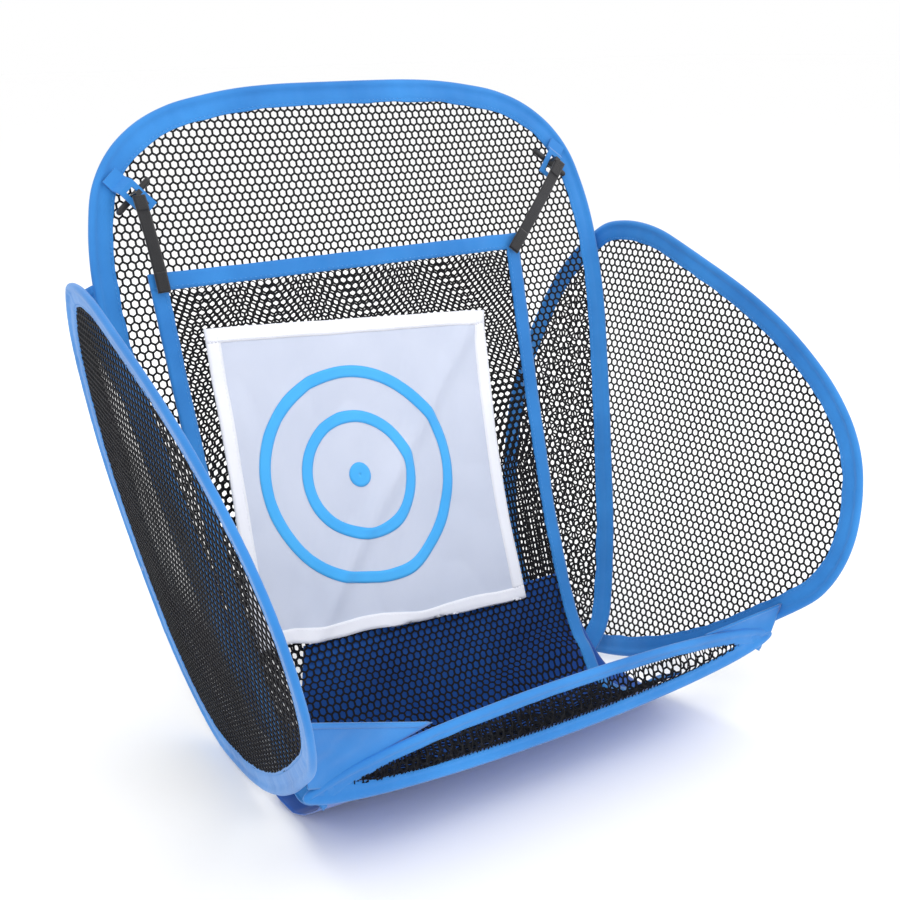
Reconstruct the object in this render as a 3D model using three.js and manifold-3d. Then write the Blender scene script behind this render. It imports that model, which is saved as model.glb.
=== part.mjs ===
// Folding golf practice net: four sprung wire loops in fabric sleeves (a tall back, two side wings
// and a low front lip), a floor sheet, a sloping inner net and a hanging target cloth.
// Units are millimetres, +Z up, +Y towards the back. The origin is on the ground, under the middle
// of the flat part of the floor sheet.
import * as THREE from 'three';
import { mergeVertices } from 'three/addons/utils/BufferGeometryUtils.js';
import Module from 'manifold-3d';

const wasm = await Module();
wasm.setup();

// ---- Driving dimensions ----
const GAP = 0.3;                    // air between pieces that touch
const SLEEVE_THICK = 6;             // folded fabric sleeve, across the panel
const SLEEVE_PLY = 0.8;             // one layer of sleeve fabric
const WIRE_RADIUS = 1.2;            // spring steel wire
const MESH_THICK = 1;               // net cloth
const MESH_IN_SLEEVE = 5;           // how far the net reaches into the sleeve
const FERRULE_LENGTH = 16;          // crimped tube that joins the wire's ends
const LOOP_STEPS = 56;              // points around a loop

const BACK_LEAN = THREE.MathUtils.degToRad(17);
const BACK_SLEEVE_WIDTH = 20;
const BACK_FOOT_Y = 28;             // where the back panel's plane meets the ground
// right half of the back loop's outer edge: across, up the slope
const BACK_HALF_OUTLINE = [
  [0, 570], [110, 566], [184, 547], [228, 508], [246, 448], [247, 370], [236, 290],
  [220, 200], [201, 110], [172, 38], [110, 10],
];
const BACK_FOOT_HALF = [0, 6];

const WING_SLEEVE_WIDTH = 19;
const WING_TOP = new THREE.Vector3(265, 158, 400);   // rear top corner of the right wing
const WING_TOE_OUT = 0.111;         // outward drift per mm forward
const WING_FLARE = 0.218;           // outward drift per mm up
// right wing's outer edge: forward of the rear top corner, up the flared plane
const WING_OUTLINE = [
  [-4, 401], [19, 416], [69, 418], [134, 396], [207, 365], [255, 337], [302, 298], [330, 258],
  [341, 215], [339, 170], [321, 131], [290, 104], [252, 75], [202, 44], [146, 19], [85, 5],
  [29, 4], [-13, 26], [-49, 70], [-66, 119], [-76, 181], [-77, 245], [-61, 309], [-37, 363],
];

const LIP_Y = -116;
const LIP_CENTRE_Z = 82.5;
const LIP_HALF_LENGTH = 229;
const LIP_HALF_HEIGHT = 24.5;
const LIP_SLEEVE_WIDTH = 11.5;
const LIP_END_STRETCH = 2.6;        // the leaf shape narrows this much faster along its length

const FLOOR_HALF_WIDTH = 184;
const FLOOR_THICK = 1;
const FLOOR_BACK_Y = 24.4;            // where the sheet turns up in front of the back panel
const FLOOR_BACK_RISE = 108;
const FLOOR_BEND_Y = -12;
const FLOOR_FRONT = [-113, 59];     // y and z of the sheet's front edge, under the lip

const NET_CENTRE_X = -26;           // the inner net hangs a little to the left
const NET_HALF_WIDTH = 166;
const NET_THICK = 1.2;
const NET_TAPE_WIDTH = 13;
const NET_TAPE_THICK = 2.4;
// side view of the inner net, from its top edge to the lip: y, z
const NET_ROUTE = [
  [126, 396], [112, 330], [92, 240], [68, 150], [42, 76], [14, 32], [-18, 15], [-56, 32], [-100, 58],
];
const TARGET_CENTRE_X = -46;
const TARGET_HALF_WIDTH = 132;
const TARGET_THICK = 1;
const TARGET_STAND_OFF = 2.6;       // in front of the inner net
// side view of the target cloth: it follows the inner net's slope
const TARGET_ROUTE = [[119.5, 366], [112, 330], [92, 240], [68, 150], [55.5, 112]];

const TOGGLE_ACROSS = 205;          // sideways place of each toggle on the back panel
const TOGGLE_UP = 485;              // and its place up the slope
const LOOP_TILT = THREE.MathUtils.degToRad(50);      // webbing loop's slant below the horizontal
const LOOP_WIDTH = 16;
const LOOP_PLY = 1.5;
const LOOP_SLOT = [18, 7];          // length and width of the slot for the toggle's stem
const LOOP_LIFT = 5.8;              // step that clears the toggle's bar
const BAR_LENGTH = 40;
const BAR_RADIUS = 2.6;
const BAR_FOOT = 3.4;               // the bar stands this far out of the panel's middle plane
const STEM = [5, 4, 13];            // along the bar, across it, and out of the panel
const STRAP_WIDTH = 10;
const STRAP_THICK = 1.2;

const GUSSET_THICK = 0.8;

const BLUE = 0x3c8cdc;
const FLOOR_BLUE = 0x1f55b4;
const BLACK = 0x0c0d10;
const WHITE = 0xcdd5eb;
const STEEL = 0x8c9096;

// ---- Outlines ----
// a smooth closed outline through a few points, as evenly spaced 2-D points
function smoothLoop(points, steps = LOOP_STEPS) {
  const curve = new THREE.CatmullRomCurve3(points.map(([x, y]) => new THREE.Vector3(x, y, 0)), true);
  const loop = curve.getSpacedPoints(steps).slice(0, steps).map((p) => new THREE.Vector2(p.x, p.y));
  return THREE.ShapeUtils.isClockWise(loop) ? loop.reverse() : loop;
}

// the anticlockwise outline moved inwards by a distance
function insetLoop(loop, distance) {
  return loop.map((point, i) => {
    const before = loop[(i + loop.length - 1) % loop.length];
    const after = loop[(i + 1) % loop.length];
    const along = after.clone().sub(before).normalize();
    return new THREE.Vector2(point.x - along.y * distance, point.y + along.x * distance);
  });
}

function backLoop(inset) {
  const mirrored = BACK_HALF_OUTLINE.slice(1).reverse().map(([across, up]) => [-across, up]);
  return insetLoop(smoothLoop([...BACK_HALF_OUTLINE, BACK_FOOT_HALF, ...mirrored]), inset);
}

function wingLoop(inset) {
  return insetLoop(smoothLoop(WING_OUTLINE), inset);
}

// a leaf: a long oval whose ends draw in faster than its sides
function lipLoop(inset) {
  const halfLength = LIP_HALF_LENGTH - LIP_END_STRETCH * inset;
  const halfHeight = LIP_HALF_HEIGHT - inset;
  return Array.from({ length: LOOP_STEPS }, (_, i) => {
    const angle = (i / LOOP_STEPS) * Math.PI * 2;
    return new THREE.Vector2(halfLength * Math.cos(angle), halfHeight * Math.sin(angle));
  });
}

// ---- Solids ----
function bareGeometry(geometry) {
  geometry.deleteAttribute('normal');
  geometry.deleteAttribute('uv');
  return mergeVertices(geometry, 1e-3);
}

function toSolid(geometry) {
  const bare = bareGeometry(geometry);
  const vertProperties = new Float32Array(bare.attributes.position.array);
  const triVerts = new Uint32Array(bare.index.array);
  return new wasm.Manifold(new wasm.Mesh({ numProp: 3, vertProperties, triVerts }));
}

function fromSolid(solid) {
  const mesh = solid.getMesh();
  const geometry = new THREE.BufferGeometry();
  geometry.setAttribute('position', new THREE.Float32BufferAttribute(mesh.vertProperties, 3));
  geometry.setIndex(Array.from(mesh.triVerts));
  geometry.computeVertexNormals();
  return geometry;
}

// a flat plate or ring between two heights
function plate(outer, hole, low, high) {
  const shape = new THREE.Shape(outer);
  if (hole) shape.holes.push(new THREE.Path(hole));
  const geometry = new THREE.ExtrudeGeometry(shape, { depth: high - low, bevelEnabled: false });
  return geometry.translate(0, 0, low);
}

// the sleeve is a folded strip: closed at the panel's edge and open towards the net
function sleeveGeometry(loopAt, width) {
  const half = SLEEVE_THICK / 2;
  const body = toSolid(plate(loopAt(0), loopAt(width), -half, half));
  const inside = half - SLEEVE_PLY;
  const groove = toSolid(plate(loopAt(SLEEVE_PLY * 1.5), loopAt(width + 2), -inside, inside));
  return fromSolid(body.subtract(groove));
}

const WIRE_INSET = 4.4;

// a round wire bent into a closed loop
function wireGeometry(loop) {
  const sides = 8;
  const steps = loop.length;
  const positions = [];
  const index = [];
  loop.forEach((point, i) => {
    const along = loop[(i + 1) % steps].clone().sub(loop[(i + steps - 1) % steps]).normalize();
    for (let k = 0; k < sides; k += 1) {
      const angle = (k / sides) * Math.PI * 2;
      const out = WIRE_RADIUS * Math.cos(angle);
      positions.push(point.x + along.y * out, point.y - along.x * out, WIRE_RADIUS * Math.sin(angle));
      const right = i * sides + ((k + 1) % sides);
      const next = ((i + 1) % steps) * sides;
      index.push(i * sides + k, next + k, right, right, next + k, next + ((k + 1) % sides));
    }
  });
  const geometry = new THREE.BufferGeometry();
  geometry.setAttribute('position', new THREE.Float32BufferAttribute(positions, 3));
  geometry.setIndex(index);
  geometry.computeVertexNormals();
  return geometry;
}

// a short tube around the wire at one point of the loop
function ferruleGeometry(loop, at) {
  const before = loop[(at + loop.length - 1) % loop.length];
  const after = loop[(at + 1) % loop.length];
  const shape = new THREE.Shape().absarc(0, 0, 2.1, 0, Math.PI * 2);
  shape.holes.push(new THREE.Path().absarc(0, 0, WIRE_RADIUS + 0.45, 0, Math.PI * 2, true));
  const tube = new THREE.ExtrudeGeometry(shape, {
    depth: FERRULE_LENGTH, bevelEnabled: false, curveSegments: 10,
  });
  tube.translate(0, 0, -FERRULE_LENGTH / 2);
  tube.rotateY(Math.PI / 2);
  tube.rotateZ(Math.atan2(after.y - before.y, after.x - before.x));
  return tube.translate(loop[at].x, loop[at].y, 0);
}

// a strip of cloth seen from the side as a route of [y, z] points, as wide as X low to X high
function clothStrip(route, thick, standOff, xLow, xHigh) {
  const curve = new THREE.CatmullRomCurve3(route.map(([y, z]) => new THREE.Vector3(y, z, 0)));
  const count = route.length * 3;
  const front = [];
  const rear = [];
  for (let i = 0; i <= count; i += 1) {
    const point = curve.getPointAt(i / count);
    const along = curve.getTangentAt(i / count);
    const place = (off) => new THREE.Vector2(point.x + along.y * off, point.y - along.x * off);
    rear.push(place(standOff));
    front.push(place(standOff + thick));
  }
  return sideProfile([...front, ...rear.reverse()], xLow, xHigh);
}

// a solid with the same side view (y, z) all the way from X low to X high
function sideProfile(points, xLow, xHigh) {
  const shape = new THREE.Shape(points.map((p) => new THREE.Vector2(p.x, p.y)));
  const geometry = new THREE.ExtrudeGeometry(shape, { depth: xHigh - xLow, bevelEnabled: false });
  const cyclic = new THREE.Matrix4().makeBasis(
    new THREE.Vector3(0, 1, 0), new THREE.Vector3(0, 0, 1), new THREE.Vector3(1, 0, 0));
  return geometry.applyMatrix4(cyclic).translate(xLow, 0, 0);
}

// a thin triangle of cloth between three points
function triangleCloth(corners) {
  const [a, b, c] = corners.map((p) => new THREE.Vector3(...p));
  const across = b.clone().sub(a).normalize();
  const normal = across.clone().cross(c.clone().sub(a)).normalize();
  const up = normal.clone().cross(across);
  const flat = [a, b, c].map((p) => {
    const arm = p.clone().sub(a);
    return new THREE.Vector2(arm.dot(across), arm.dot(up));
  });
  const frame = new THREE.Matrix4().makeBasis(across, up, normal).setPosition(a);
  return plate(flat, null, -GUSSET_THICK / 2, GUSSET_THICK / 2).applyMatrix4(frame);
}

// ---- Assembly ----
function addMesh(parent, name, geometry, color, roughness = 0.85, metalness = 0) {
  const material = new THREE.MeshStandardMaterial({ color, roughness, metalness });
  const mesh = new THREE.Mesh(geometry, material);
  mesh.name = name;
  parent.add(mesh);
  return mesh;
}

// a loop: sleeve, wire, the ferrule on the wire, and the net stretched inside
function addPanel(parent, name, loopAt, sleeveWidth, ferruleAt) {
  addMesh(parent, `${name}_sleeve`, sleeveGeometry(loopAt, sleeveWidth), BLUE);
  const wireLoop = loopAt(WIRE_INSET);
  addMesh(parent, `${name}_wire`, wireGeometry(wireLoop), STEEL, 0.35, 1);
  addMesh(parent, `${name}_wire_ferrule`, ferruleGeometry(wireLoop, ferruleAt), STEEL, 0.4, 1);
  const net = plate(loopAt(sleeveWidth - MESH_IN_SLEEVE), null, -MESH_THICK / 2, MESH_THICK / 2);
  addMesh(parent, `${name}_mesh`, net, BLACK, 0.8);
}

function placeFrame(group, across, up, origin) {
  const u = across.clone().normalize();
  const v = up.clone().addScaledVector(u, -up.dot(u)).normalize();
  const frame = new THREE.Matrix4().makeBasis(u, v, u.clone().cross(v)).setPosition(origin);
  frame.decompose(group.position, group.quaternion, group.scale);
}

const golfNet = new THREE.Group();

// Back panel: X across, second axis up the slope, third axis out of the front
const backPanel = new THREE.Group();
placeFrame(
  backPanel,
  new THREE.Vector3(1, 0, 0),
  new THREE.Vector3(0, Math.sin(BACK_LEAN), Math.cos(BACK_LEAN)),
  new THREE.Vector3(0, BACK_FOOT_Y, 0),
);
golfNet.add(backPanel);
addPanel(backPanel, 'back', backLoop, BACK_SLEEVE_WIDTH, Math.round(LOOP_STEPS / 2));

// Side wings: first axis forward, second axis up the flared plane
for (const side of [1, -1]) {
  const name = side > 0 ? 'right_wing' : 'left_wing';
  const wing = new THREE.Group();
  placeFrame(
    wing,
    new THREE.Vector3(side * WING_TOE_OUT, -1, 0),
    new THREE.Vector3(side * WING_FLARE, 0, 1),
    new THREE.Vector3(side * (WING_TOP.x - WING_FLARE * WING_TOP.z), WING_TOP.y, 0),
  );
  golfNet.add(wing);
  addPanel(wing, name, wingLoop, WING_SLEEVE_WIDTH, Math.round(LOOP_STEPS * 0.2));
}

// Front lip: a leaf-shaped loop standing on the floor sheet's front edge
const lip = new THREE.Group();
placeFrame(
  lip,
  new THREE.Vector3(1, 0, 0),
  new THREE.Vector3(0, 0, 1),
  new THREE.Vector3(0, LIP_Y, LIP_CENTRE_Z),
);
golfNet.add(lip);
addPanel(lip, 'lip', lipLoop, LIP_SLEEVE_WIDTH, Math.round(LOOP_STEPS * 0.75));

// Floor sheet: flat on the ground, rising to the lip in front and up the back panel's foot behind
function floorSheet() {
  const [frontY, frontZ] = FLOOR_FRONT;
  const rise = Math.atan2(frontZ, FLOOR_BEND_Y - frontY);
  const lift = FLOOR_THICK / Math.cos(rise);
  const depth = FLOOR_THICK / Math.cos(BACK_LEAN);
  const rearY = FLOOR_BACK_Y + FLOOR_BACK_RISE * Math.tan(BACK_LEAN);
  const points = [
    [FLOOR_BACK_Y, 0], [rearY, FLOOR_BACK_RISE], [rearY - depth, FLOOR_BACK_RISE],
    [FLOOR_BACK_Y - depth, FLOOR_THICK], [FLOOR_BEND_Y, FLOOR_THICK],
    [frontY, frontZ + lift], [frontY, frontZ], [FLOOR_BEND_Y, 0],
  ];
  return sideProfile(points.map(([y, z]) => new THREE.Vector2(y, z)), -FLOOR_HALF_WIDTH, FLOOR_HALF_WIDTH);
}
addMesh(golfNet, 'floor_sheet', floorSheet(), FLOOR_BLUE);

// Inner net with its bound edges
const netLeft = NET_CENTRE_X - NET_HALF_WIDTH;
const netRight = NET_CENTRE_X + NET_HALF_WIDTH;
addMesh(golfNet, 'inner_net', clothStrip(
  NET_ROUTE, NET_THICK, 0, netLeft + NET_TAPE_WIDTH + GAP, netRight - NET_TAPE_WIDTH - GAP), BLACK);
addMesh(golfNet, 'inner_net_left_binding', clothStrip(
  NET_ROUTE, NET_TAPE_THICK, -0.6, netLeft, netLeft + NET_TAPE_WIDTH), BLUE);
addMesh(golfNet, 'inner_net_right_binding', clothStrip(
  NET_ROUTE, NET_TAPE_THICK, -0.6, netRight - NET_TAPE_WIDTH, netRight), BLUE);
const topTape = new THREE.BoxGeometry(NET_HALF_WIDTH * 2, NET_TAPE_THICK, NET_TAPE_WIDTH);
topTape.translate(NET_CENTRE_X, NET_ROUTE[0][0] + 0.6, NET_ROUTE[0][1] + NET_TAPE_WIDTH / 2 + 2 * GAP);
addMesh(golfNet, 'inner_net_top_binding', topTape, BLUE);

// Target cloth in front of the inner net
addMesh(golfNet, 'target_cloth', clothStrip(
  TARGET_ROUTE, TARGET_THICK, TARGET_STAND_OFF,
  TARGET_CENTRE_X - TARGET_HALF_WIDTH, TARGET_CENTRE_X + TARGET_HALF_WIDTH), WHITE, 0.7);

// Webbing loop: its root lies on the sleeve, then it steps out over the toggle's bar
function webbingLoop() {
  const root = 3.3;
  const far = root + LOOP_LIFT;
  const profile = [
    [-24, root], [-14, root], [-9, far], [16, far],
    [16, far + LOOP_PLY], [-9.8, far + LOOP_PLY], [-14.8, root + LOOP_PLY], [-24, root + LOOP_PLY],
  ];
  const strip = toSolid(sideProfile(
    profile.map(([y, z]) => new THREE.Vector2(y, z)), -LOOP_WIDTH / 2, LOOP_WIDTH / 2));
  const slot = new THREE.BoxGeometry(LOOP_SLOT[1], LOOP_SLOT[0], 20).translate(0, 3, far);
  return fromSolid(strip.subtract(toSolid(slot)));
}

// Toggle: a round-ended bar behind the loop, with a stem out through the slot
function toggleSolid() {
  const bar = new THREE.CapsuleGeometry(BAR_RADIUS, BAR_LENGTH - 2 * BAR_RADIUS, 3, 10).rotateZ(Math.PI / 2);
  bar.translate(0, 0, BAR_FOOT + BAR_RADIUS);
  const stem = new THREE.BoxGeometry(...STEM).translate(0, 0, STEM[2] / 2 + BAR_FOOT + BAR_RADIUS);
  return fromSolid(toSolid(bar).add(toSolid(stem)));
}

for (const side of [1, -1]) {
  const name = side > 0 ? 'right' : 'left';
  // loop frame: first axis along the bar, second axis from the sleeve inwards and down
  const corner = new THREE.Group();
  corner.position.set(side * TOGGLE_ACROSS, TOGGLE_UP, 0);
  corner.rotation.z = side * (Math.PI / 2 + LOOP_TILT);
  backPanel.add(corner);
  addMesh(corner, `${name}_webbing_loop`, webbingLoop(), BLUE);
  addMesh(corner, `${name}_toggle`, toggleSolid(), BLACK, 0.5);
}
golfNet.updateMatrixWorld(true);

// Straps from each toggle's stem down to the inner net's top corners
for (const side of [1, -1]) {
  const name = side > 0 ? 'right' : 'left';
  const top = new THREE.Vector3(side * TOGGLE_ACROSS, TOGGLE_UP - STEM[1] - 1.4, BAR_FOOT + BAR_RADIUS + STEM[2] - 1);
  backPanel.localToWorld(top);
  const cornerX = NET_CENTRE_X + side * (NET_HALF_WIDTH - 8);
  const bottom = new THREE.Vector3(cornerX, NET_ROUTE[0][0] - 6, NET_ROUTE[0][1] + 4);
  const strap = new THREE.BoxGeometry(STRAP_WIDTH, top.distanceTo(bottom), STRAP_THICK);
  const mesh = addMesh(golfNet, `${name}_strap`, strap, BLACK);
  const along = top.clone().sub(bottom).normalize();
  const across = new THREE.Vector3(1, 0, 0).addScaledVector(along, -along.x);
  placeFrame(mesh, across, along, top.clone().add(bottom).multiplyScalar(0.5));
}

// Corner gussets: behind each wing's top corner, and between each wing and the lip
for (const side of [1, -1]) {
  const name = side > 0 ? 'right' : 'left';
  addMesh(golfNet, `${name}_rear_gusset`, triangleCloth([
    [side * 249, 140, 436], [side * 260, 120, 398], [side * 246, 106, 326],
  ]), BLUE);
  addMesh(golfNet, `${name}_front_gusset`, triangleCloth([
    [side * 235, -132, 150], [side * 120, LIP_Y, 109], [side * 221, LIP_Y - 2, 97],
  ]), BLUE);
}

export default golfNet;
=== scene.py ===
import math

import bpy
import numpy as np
from mathutils import Matrix, Vector, noise


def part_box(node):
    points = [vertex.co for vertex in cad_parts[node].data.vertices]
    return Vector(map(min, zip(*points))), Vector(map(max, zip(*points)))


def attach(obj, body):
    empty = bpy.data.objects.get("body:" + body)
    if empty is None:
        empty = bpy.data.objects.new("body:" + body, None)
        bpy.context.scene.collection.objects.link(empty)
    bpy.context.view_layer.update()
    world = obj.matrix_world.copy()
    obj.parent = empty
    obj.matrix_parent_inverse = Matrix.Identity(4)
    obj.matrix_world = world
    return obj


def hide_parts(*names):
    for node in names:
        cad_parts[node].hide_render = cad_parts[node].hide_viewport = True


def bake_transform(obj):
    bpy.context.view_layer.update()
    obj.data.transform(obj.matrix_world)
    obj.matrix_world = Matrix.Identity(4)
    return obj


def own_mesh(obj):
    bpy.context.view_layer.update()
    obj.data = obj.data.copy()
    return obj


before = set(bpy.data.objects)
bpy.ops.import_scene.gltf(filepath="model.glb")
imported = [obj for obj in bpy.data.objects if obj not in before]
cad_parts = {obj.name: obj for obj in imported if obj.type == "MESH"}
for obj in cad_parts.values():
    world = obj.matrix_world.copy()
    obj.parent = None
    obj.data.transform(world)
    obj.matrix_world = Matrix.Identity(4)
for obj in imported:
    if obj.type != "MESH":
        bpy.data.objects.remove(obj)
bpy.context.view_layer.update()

MM = 0.001
UP = np.array([0.0, 0.0, 1.0])


# ---------------------------------------------------------------- camera, light and floor
CAMERA_PLACE = (-0.599, -0.849, 0.578)
CAMERA_YAW = math.radians(34.1)      # to the right of straight at the back panel
CAMERA_PITCH = math.radians(16.9)    # downwards
CAMERA_ROLL = math.radians(1.0)
CAMERA_LENS = 54.1                   # mm
CAMERA_SENSOR = 36                   # mm wide
STUDIO_FLOOR_SIZE = 60
STUDIO_FLOOR_HEIGHT = -0.0006        # a hair below the net's lowest fabric


def make_camera():
    """A camera at CAMERA_PLACE, turned by its yaw, pitch and roll."""
    forward = Vector((
        math.sin(CAMERA_YAW) * math.cos(CAMERA_PITCH),
        math.cos(CAMERA_YAW) * math.cos(CAMERA_PITCH),
        -math.sin(CAMERA_PITCH),
    ))
    level = Vector((math.cos(CAMERA_YAW), -math.sin(CAMERA_YAW), 0))
    down = forward.cross(level)
    right = level * math.cos(CAMERA_ROLL) + down * math.sin(CAMERA_ROLL)
    top = -(down * math.cos(CAMERA_ROLL) - level * math.sin(CAMERA_ROLL))
    data = bpy.data.cameras.new("camera")
    data.sensor_width = CAMERA_SENSOR
    data.lens = CAMERA_LENS
    camera = bpy.data.objects.new("camera", data)
    turn = Matrix((right, top, -forward)).transposed().to_4x4()
    camera.matrix_world = Matrix.Translation(CAMERA_PLACE) @ turn
    bpy.context.collection.objects.link(camera)
    bpy.context.scene.camera = camera


def area_light(name, place, aim, size, power):
    data = bpy.data.lights.new(name, "AREA")
    data.size = size
    data.energy = power
    light = bpy.data.objects.new(name, data)
    light.location = place
    light.rotation_euler = (Vector(aim) - Vector(place)).to_track_quat("-Z", "Y").to_euler()
    bpy.context.collection.objects.link(light)


def make_studio():
    """A white room: an even surrounding light, three soft lamps and a wide white floor."""
    world = bpy.data.worlds.new("studio")
    world.use_nodes = True
    background = world.node_tree.nodes["Background"]
    background.inputs["Color"].default_value = (1, 1, 1, 1)
    background.inputs["Strength"].default_value = 1.0
    bpy.context.scene.world = world
    bpy.context.scene.view_settings.view_transform = "Standard"
    area_light("key_light", (-1.4, -1.6, 2.2), (0, 0, 0.2), 1.6, 22)
    area_light("fill_light", (1.8, -1.2, 1.6), (0, 0, 0.2), 1.8, 14)
    area_light("rear_light", (0.4, 2.0, 1.8), (0, 0, 0.3), 1.6, 12)
    bpy.ops.mesh.primitive_plane_add(size=STUDIO_FLOOR_SIZE, location=(0, 0, STUDIO_FLOOR_HEIGHT))
    floor = bpy.context.object
    floor.name = "studio_floor"
    material, _, shader = new_material("studio_floor", 0.9)
    shader.inputs["Base Color"].default_value = (1, 1, 1, 1)
    shader.inputs["Specular IOR Level"].default_value = 0.1
    floor.data.materials.append(material)


# ---------------------------------------------------------------- materials
CLOUD_SCALE = 14.0                   # of the slow patches of a second shade in a cloth
WEAVE_RELIEF = 0.3 * MM
GRAIN_SCALE = 1400                   # of the fine grain on moulded plastic and steel
GRAIN_RELIEF = 0.2 * MM


def new_material(name, rough):
    """A material with its node tree and its main shader."""
    material = bpy.data.materials.new(name)
    material.use_nodes = True
    shader = material.node_tree.nodes["Principled BSDF"]
    shader.inputs["Roughness"].default_value = rough
    return material, material.node_tree, shader


def add_relief(tree, shader, height, strength, distance):
    """Fine relief on a surface, from the output of a texture."""
    relief = tree.nodes.new("ShaderNodeBump")
    relief.inputs["Strength"].default_value = strength
    relief.inputs["Distance"].default_value = distance
    tree.links.new(height, relief.inputs["Height"])
    tree.links.new(relief.outputs["Normal"], shader.inputs["Normal"])


def set_input(material, name, value):
    material.node_tree.nodes["Principled BSDF"].inputs[name].default_value = value


def fabric(name, dark, light, weave=1800.0, rough=0.62, sheen=0.25, bump=0.25):
    """Woven cloth: two crossing fine ribs for the weave and slow patches of a second shade.

    A higher weave makes finer ribs."""
    material, tree, shader = new_material(name, rough)
    shader.inputs["Sheen Weight"].default_value = sheen
    shader.inputs["Specular IOR Level"].default_value = 0.3
    place = tree.nodes.new("ShaderNodeTexCoord")
    cloud = tree.nodes.new("ShaderNodeTexNoise")
    cloud.inputs["Scale"].default_value = CLOUD_SCALE
    cloud.inputs["Detail"].default_value = 4
    shades = tree.nodes.new("ShaderNodeValToRGB")
    for element, position, color in zip(shades.color_ramp.elements, (0.3, 0.7), (dark, light)):
        element.position = position
        element.color = (*color, 1)
    tree.links.new(place.outputs["Object"], cloud.inputs["Vector"])
    tree.links.new(cloud.outputs["Fac"], shades.inputs["Fac"])
    tree.links.new(shades.outputs["Color"], shader.inputs["Base Color"])
    height = None
    for direction in ("X", "Z"):
        rib = tree.nodes.new("ShaderNodeTexWave")
        rib.bands_direction = direction
        rib.inputs["Scale"].default_value = weave / (2 * math.pi)
        rib.inputs["Distortion"].default_value = 1.2
        tree.links.new(place.outputs["Object"], rib.inputs["Vector"])
        if height is None:
            height = rib.outputs["Fac"]
            continue
        both = tree.nodes.new("ShaderNodeMath")
        both.operation = "MULTIPLY"
        tree.links.new(height, both.inputs[0])
        tree.links.new(rib.outputs["Fac"], both.inputs[1])
        height = both.outputs["Value"]
    add_relief(tree, shader, height, bump, WEAVE_RELIEF)
    return material


SLEEVE_BLUE = fabric("sleeve_blue", (0.015, 0.175, 0.520), (0.030, 0.245, 0.660))
# the floor sheet's own blue, darkened to navy below the sleeve blue as painted shade for where it lies
# under the inner net
FLOOR_BLUE_WITH_PAINTED_SHADE = fabric("floor_blue", (0.006, 0.085, 0.400), (0.012, 0.125, 0.520), weave=1500)
THREAD_BLUE = fabric("thread_blue", (0.030, 0.240, 0.620), (0.060, 0.330, 0.780), weave=4000)
NET_BLACK = fabric(
    "net_black", (0.004, 0.004, 0.006), (0.010, 0.011, 0.014), weave=5200, rough=0.7, sheen=0.0)
set_input(NET_BLACK, "Specular IOR Level", 0.15)
STRAP_BLACK = fabric("strap_black", (0.007, 0.007, 0.009), (0.020, 0.020, 0.024), weave=2600, bump=0.6)
CLOTH_WHITE = fabric("cloth_white", (0.60, 0.655, 0.80), (0.66, 0.71, 0.85), weave=2400, bump=0.12)
set_input(CLOTH_WHITE, "Alpha", 0.85)
HEM_WHITE = fabric("hem_white", (0.80, 0.82, 0.90), (0.87, 0.88, 0.95), weave=2400, bump=0.2)
INK_BLUE = fabric("ink_blue", (0.045, 0.380, 0.840), (0.060, 0.430, 0.900), weave=2400, bump=0.1)


def moulded(name, color, rough):
    """A plain hard surface with a fine grain."""
    material, tree, shader = new_material(name, rough)
    shader.inputs["Base Color"].default_value = (*color, 1)
    grain = tree.nodes.new("ShaderNodeTexNoise")
    grain.inputs["Scale"].default_value = GRAIN_SCALE
    add_relief(tree, shader, grain.outputs["Fac"], 0.2, GRAIN_RELIEF)
    return material


TOGGLE_BLACK = moulded("toggle_black", (0.012, 0.012, 0.014), 0.38)
WIRE_STEEL = moulded("wire_steel", (0.42, 0.43, 0.45), 0.3)
set_input(WIRE_STEEL, "Metallic", 1.0)


# ---------------------------------------------------------------- meshes
EDGE_SPACING = 3 * MM                # between the points along a loop's outer edge
CURVE_STEPS = 12                     # points on each span of a smoothed line
SEED_STEPS = (7.3, 3.1, 1.7)         # how far each seed moves along the noise
NOISE_GAIN = 1.6                     # brings the noise to about -1 to 1
NET_WAVE = 1.6 * MM                  # slow waves in a stretched net
NET_WAVE_SCALE = 11


def new_mesh(name, points, faces, material, smooth=True):
    mesh = bpy.data.meshes.new(name)
    mesh.from_pydata(np.asarray(points).reshape(-1, 3).tolist(), [], faces)
    mesh.validate()
    if smooth:
        mesh.shade_smooth()
    piece = bpy.data.objects.new(name, mesh)
    bpy.context.collection.objects.link(piece)
    mesh.materials.append(material)
    return piece


def cad_points(node):
    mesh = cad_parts[node].data
    points = np.empty(len(mesh.vertices) * 3)
    mesh.vertices.foreach_get("co", points)
    return points.reshape(-1, 3)


def convex_outline(points):
    """The convex hull of 2-D points, anticlockwise."""
    points = sorted(set(map(tuple, np.round(points, 6))))

    def half(run):
        chain = []
        for p in run:
            while len(chain) > 1:
                a, b = chain[-2], chain[-1]
                if (b[0] - a[0]) * (p[1] - a[1]) - (b[1] - a[1]) * (p[0] - a[0]) > 1e-9:
                    break
                chain.pop()
            chain.append(p)
        return chain[:-1]

    return np.array(half(points) + half(points[::-1]))


def smooth_closed(points, spacing):
    """A closed line through the points, resampled evenly along a Catmull-Rom curve."""
    fine = []
    steps = np.linspace(0, 1, CURVE_STEPS, endpoint=False)[:, None]
    for i in range(len(points)):
        a, b, c, d = (points[(i + k) % len(points)] for k in (-1, 0, 1, 2))
        fine.append(0.5 * (2 * b + (c - a) * steps + (2 * a - 5 * b + 4 * c - d) * steps ** 2
                           + (3 * b - a - 3 * c + d) * steps ** 3))
    fine = np.concatenate(fine)
    closed = np.vstack([fine, fine[:1]])
    run = np.concatenate([[0], np.cumsum(np.linalg.norm(np.diff(closed, axis=0), axis=1))])
    count = int(run[-1] / spacing)
    at = np.linspace(0, run[-1], count, endpoint=False)
    return np.stack([np.interp(at, run, closed[:, k]) for k in range(closed.shape[1])], axis=1)


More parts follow.
